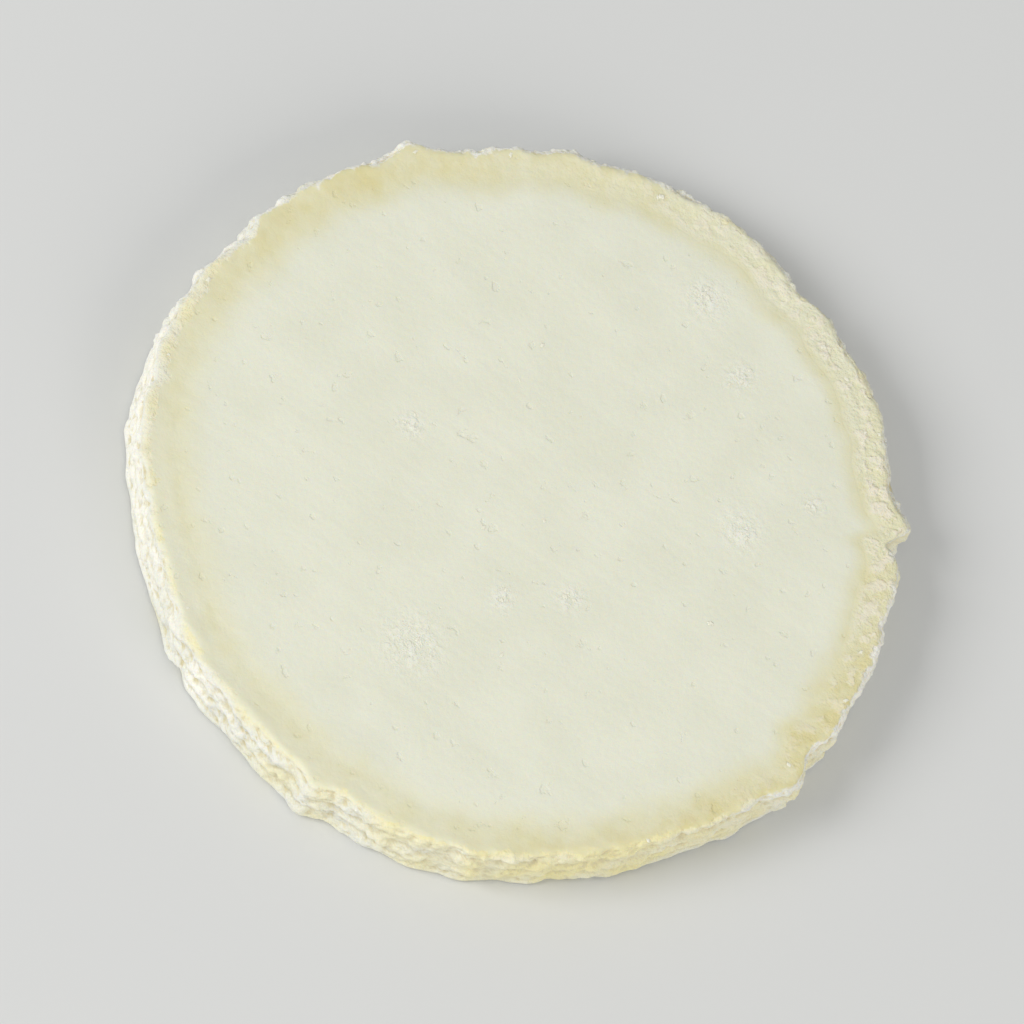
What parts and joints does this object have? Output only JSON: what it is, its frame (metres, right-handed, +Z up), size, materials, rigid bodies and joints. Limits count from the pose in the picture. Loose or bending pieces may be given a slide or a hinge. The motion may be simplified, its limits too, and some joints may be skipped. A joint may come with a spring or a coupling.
{
  "type": "goat cheese slice",
  "caption": "Thin round slice of a soft goat cheese log: flat ivory cut faces with a pale cream line, edged by a wrinkled white rind.",
  "frame": {"origin": "middle of the slice's box, on the plane of its flat underside", "axes": "+Z up from the underside to the upper cut face; +X and +Y across the slice, which is nearly round, with the small nick of the rind about 30 degrees round from +X"},
  "size_m": [0.0688, 0.07, 0.006],
  "materials": {
    "goat_cheese": "soft ivory paste with a thin cream-coloured line inside a matte white bloomy rind"
  },
  "bodies": {
    "root": {"cheese_slice": "goat_cheese"}
  },
  "joints": []
}
